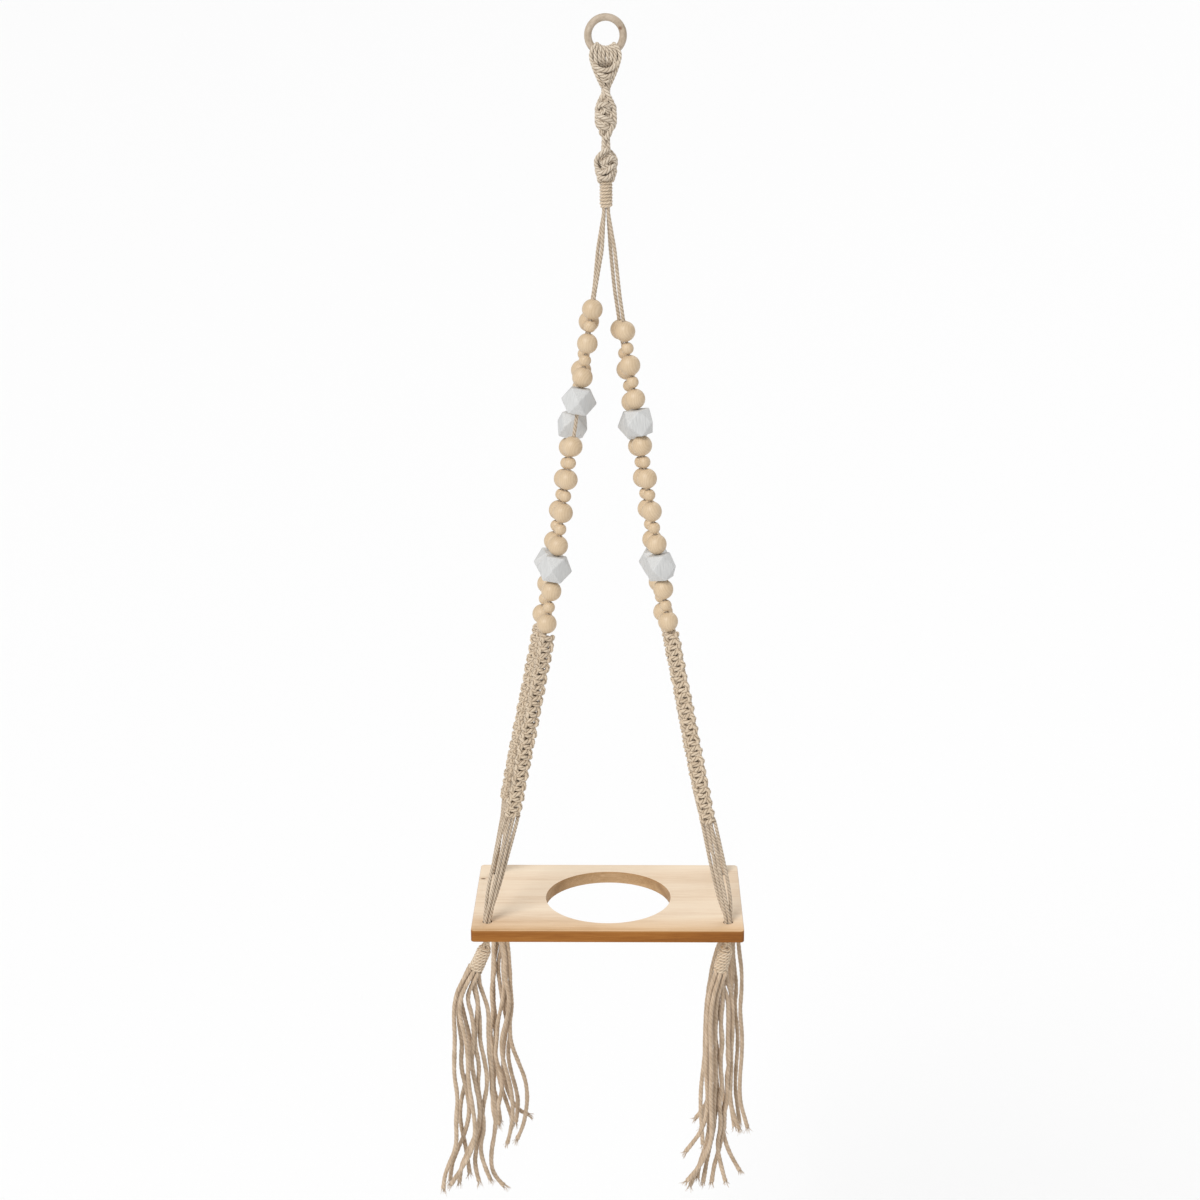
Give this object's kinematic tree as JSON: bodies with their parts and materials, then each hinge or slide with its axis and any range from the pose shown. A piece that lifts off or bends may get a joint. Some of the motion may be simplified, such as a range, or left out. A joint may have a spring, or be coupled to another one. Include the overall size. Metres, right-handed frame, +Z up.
{
  "type": "hanging planter",
  "caption": "Hanging macrame planter: a wooden ring, a knotted cotton neck and beaded, braided legs hold a board with a round hole for a pot, with a tassel under each corner",
  "frame": {"origin": "The hook seat: the inner top point of the ring, where the hook carries it", "axes": "+Z up, +X along the board's long side, +Y from the board's front edge to its back edge"},
  "size_m": [0.3295, 0.168, 1.2142],
  "materials": {
    "ring_wood": "satin",
    "board_wood": "raw, finely sanded",
    "bead_wood": "raw, finely sanded",
    "white_bead": "painted matte white",
    "cotton_cord": "three-ply twisted cotton"
  },
  "bodies": {
    "ring": {"hanging_ring": "ring_wood"},
    "loops": {"ring_loops": "cotton_cord"},
    "neck": {"neck_cords": "cotton_cord", "upper_neck_knots": "cotton_cord"},
    "hanger": {"lower_neck_knots": "cotton_cord", "gathering_wrap": "cotton_cord", "board": "board_wood", "leg_cord_front_left": "cotton_cord", "extra_cords_front_left": "cotton_cord", "sinnet_front_left": "cotton_cord", "stopper_knot_front_left": "cotton_cord", "leg_cord_front_right": "cotton_cord", "extra_cords_front_right": "cotton_cord", "sinnet_front_right": "cotton_cord", "stopper_knot_front_right": "cotton_cord", "leg_cord_back_left": "cotton_cord", "extra_cords_back_left": "cotton_cord", "sinnet_back_left": "cotton_cord", "stopper_knot_back_left": "cotton_cord", "leg_cord_back_right": "cotton_cord", "extra_cords_back_right": "cotton_cord", "sinnet_back_right": "cotton_cord", "stopper_knot_back_right": "cotton_cord"},
    "upper_beads_front_left": {"upper_round_beads_front_left": "bead_wood"},
    "upper_faceted_front_left": {"upper_faceted_bead_front_left": "white_bead"},
    "middle_beads_front_left": {"middle_round_beads_front_left": "bead_wood"},
    "lower_faceted_front_left": {"lower_faceted_bead_front_left": "white_bead"},
    "lower_beads_front_left": {"lower_round_beads_front_left": "bead_wood"},
    "tassel_top_front_left": {"tassel_wrap_front_left": "cotton_cord"},
    "tassel_front_left": {"tassel_strands_front_left": "cotton_cord"},
    "upper_beads_front_right": {"upper_round_beads_front_right": "bead_wood"},
    "upper_faceted_front_right": {"upper_faceted_bead_front_right": "white_bead"},
    "middle_beads_front_right": {"middle_round_beads_front_right": "bead_wood"},
    "lower_faceted_front_right": {"lower_faceted_bead_front_right": "white_bead"},
    "lower_beads_front_right": {"lower_round_beads_front_right": "bead_wood"},
    "tassel_top_front_right": {"tassel_wrap_front_right": "cotton_cord"},
    "tassel_front_right": {"tassel_strands_front_right": "cotton_cord"},
    "upper_beads_back_left": {"upper_round_beads_back_left": "bead_wood"},
    "upper_faceted_back_left": {"upper_faceted_bead_back_left": "white_bead"},
    "middle_beads_back_left": {"middle_round_beads_back_left": "bead_wood"},
    "lower_faceted_back_left": {"lower_faceted_bead_back_left": "white_bead"},
    "lower_beads_back_left": {"lower_round_beads_back_left": "bead_wood"},
    "tassel_top_back_left": {"tassel_wrap_back_left": "cotton_cord"},
    "tassel_back_left": {"tassel_strands_back_left": "cotton_cord"},
    "upper_beads_back_right": {"upper_round_beads_back_right": "bead_wood"},
    "upper_faceted_back_right": {"upper_faceted_bead_back_right": "white_bead"},
    "middle_beads_back_right": {"middle_round_beads_back_right": "bead_wood"},
    "lower_faceted_back_right": {"lower_faceted_bead_back_right": "white_bead"},
    "lower_beads_back_right": {"lower_round_beads_back_right": "bead_wood"},
    "tassel_top_back_right": {"tassel_wrap_back_right": "cotton_cord"},
    "tassel_back_right": {"tassel_strands_back_right": "cotton_cord"}
  },
  "joints": [
    {"name": "ring_slip", "type": "hinge", "parent": "ring", "child": "loops", "pos_m": [0, 0, -0.013], "axis": [0, 1, 0], "range_deg": [-20, 20]},
    {"name": "neck_swing", "type": "hinge", "parent": "loops", "child": "neck", "pos_m": [0, 0, -0.0575], "axis": [1, 0, 0], "range_deg": [-20, 20]},
    {"name": "hanger_turn", "type": "hinge", "parent": "neck", "child": "hanger", "pos_m": [0, 0, -0.113], "axis": [0, 0, 1], "range_deg": [-90, 90]},
    {"name": "bead_slide_front_left", "type": "slide", "parent": "hanger", "child": "upper_beads_front_left", "axis": [0.1483, 0.081, 0.9856], "range_m": [-0.022, 0.006]},
    {"name": "turn_upper_faceted_front_left", "type": "hinge", "parent": "upper_beads_front_left", "child": "upper_faceted_front_left", "pos_m": [-0.02662, -0.01625, -0.35651], "axis": [0.1483, 0.081, 0.9856], "continuous": true},
    {"name": "turn_middle_beads_front_left", "type": "hinge", "parent": "hanger", "child": "middle_beads_front_left", "pos_m": [-0.04067, -0.02393, -0.44985], "axis": [0.1483, 0.081, 0.9856], "continuous": true},
    {"name": "turn_lower_faceted_front_left", "type": "hinge", "parent": "hanger", "child": "lower_faceted_front_left", "pos_m": [-0.05145, -0.02982, -0.5215], "axis": [0.1483, 0.081, 0.9856], "continuous": true},
    {"name": "turn_lower_beads_front_left", "type": "hinge", "parent": "hanger", "child": "lower_beads_front_left", "pos_m": [-0.05732, -0.03302, -0.56054], "axis": [0.1483, 0.081, 0.9856], "continuous": true},
    {"name": "bead_slide_front_right", "type": "slide", "parent": "hanger", "child": "upper_beads_front_right", "axis": [-0.1462, 0.0576, 0.9876], "range_m": [0, 0.02]},
    {"name": "turn_upper_faceted_front_right", "type": "hinge", "parent": "upper_beads_front_right", "child": "upper_faceted_front_right", "pos_m": [0.03103, -0.0158, -0.37778], "axis": [-0.1462, 0.0576, 0.9876], "continuous": true},
    {"name": "turn_middle_beads_front_right", "type": "hinge", "parent": "hanger", "child": "middle_beads_front_right", "pos_m": [0.04166, -0.01999, -0.44958], "axis": [-0.1462, 0.0576, 0.9876], "continuous": true},
    {"name": "turn_lower_faceted_front_right", "type": "hinge", "parent": "hanger", "child": "lower_faceted_front_right", "pos_m": [0.05228, -0.02417, -0.52138], "axis": [-0.1462, 0.0576, 0.9876], "continuous": true},
    {"name": "turn_lower_beads_front_right", "type": "hinge", "parent": "hanger", "child": "lower_beads_front_right", "pos_m": [0.05808, -0.02645, -0.56048], "axis": [-0.1462, 0.0576, 0.9876], "continuous": true},
    {"name": "bead_slide_back_left", "type": "slide", "parent": "hanger", "child": "upper_beads_back_left", "axis": [0.1612, -0.0572, 0.9853], "range_m": [0, 0.0035]},
    {"name": "turn_upper_faceted_back_left", "type": "hinge", "parent": "upper_beads_back_left", "child": "upper_faceted_back_left", "pos_m": [-0.03415, 0.01637, -0.38727], "axis": [0.1612, -0.0572, 0.9853], "continuous": true},
    {"name": "turn_middle_beads_back_left", "type": "hinge", "parent": "hanger", "child": "middle_beads_back_left", "pos_m": [-0.04587, 0.02054, -0.4589], "axis": [0.1612, -0.0572, 0.9853], "continuous": true},
    {"name": "turn_lower_faceted_back_left", "type": "hinge", "parent": "hanger", "child": "lower_faceted_back_left", "pos_m": [-0.05759, 0.0247, -0.53053], "axis": [0.1612, -0.0572, 0.9853], "continuous": true},
    {"name": "turn_lower_beads_back_left", "type": "hinge", "parent": "hanger", "child": "lower_beads_back_left", "pos_m": [-0.06397, 0.02696, -0.56955], "axis": [0.1612, -0.0572, 0.9853], "continuous": true},
    {"name": "bead_slide_back_right", "type": "slide", "parent": "hanger", "child": "upper_beads_back_right", "axis": [0.1431, 0.079, -0.9865], "range_m": [-0.02, 0]},
    {"name": "turn_upper_faceted_back_right", "type": "hinge", "parent": "upper_beads_back_right", "child": "upper_faceted_back_right", "pos_m": [0.02748, 0.01927, -0.387], "axis": [-0.1431, -0.079, 0.9865], "continuous": true},
    {"name": "turn_middle_beads_back_right", "type": "hinge", "parent": "hanger", "child": "middle_beads_back_right", "pos_m": [0.03788, 0.02501, -0.45872], "axis": [-0.1431, -0.079, 0.9865], "continuous": true},
    {"name": "turn_lower_faceted_back_right", "type": "hinge", "parent": "hanger", "child": "lower_faceted_back_right", "pos_m": [0.04829, 0.03075, -0.53044], "axis": [-0.1431, -0.079, 0.9865], "continuous": true},
    {"name": "turn_lower_beads_back_right", "type": "hinge", "parent": "hanger", "child": "lower_beads_back_right", "pos_m": [0.05396, 0.03388, -0.56951], "axis": [-0.1431, -0.079, 0.9865], "continuous": true},
    {"name": "tassel_lean_front_left", "type": "hinge", "parent": "hanger", "child": "tassel_top_front_left", "pos_m": [-0.1225, -0.062, -0.9093], "axis": [0, 1, 0], "range_deg": [-35, 15]},
    {"name": "tassel_sway_front_left", "type": "hinge", "parent": "tassel_top_front_left", "child": "tassel_front_left", "pos_m": [-0.1375, -0.062, -0.9406], "axis": [1, 0, 0], "range_deg": [-15, 15]},
    {"name": "tassel_lean_front_right", "type": "hinge", "parent": "hanger", "child": "tassel_top_front_right", "pos_m": [0.1225, -0.062, -0.9093], "axis": [0, 1, 0], "range_deg": [-30, 5]},
    {"name": "tassel_sway_front_right", "type": "hinge", "parent": "tassel_top_front_right", "child": "tassel_front_right", "pos_m": [0.1155, -0.062, -0.9406], "axis": [1, 0, 0], "range_deg": [-15, 15]},
    {"name": "tassel_lean_back_left", "type": "hinge", "parent": "hanger", "child": "tassel_top_back_left", "pos_m": [-0.1225, 0.062, -0.9093], "axis": [0, 1, 0], "range_deg": [-7, 30]},
    {"name": "tassel_sway_back_left", "type": "hinge", "parent": "tassel_top_back_left", "child": "tassel_back_left", "pos_m": [-0.118, 0.062, -0.9406], "axis": [1, 0, 0], "range_deg": [-15, 15]},
    {"name": "tassel_lean_back_right", "type": "hinge", "parent": "hanger", "child": "tassel_top_back_right", "pos_m": [0.1225, 0.062, -0.9093], "axis": [0, 1, 0], "range_deg": [-25, 28]},
    {"name": "tassel_sway_back_right", "type": "hinge", "parent": "tassel_top_back_right", "child": "tassel_back_right", "pos_m": [0.1315, 0.062, -0.9406], "axis": [1, 0, 0], "range_deg": [-15, 15]}
  ]
}
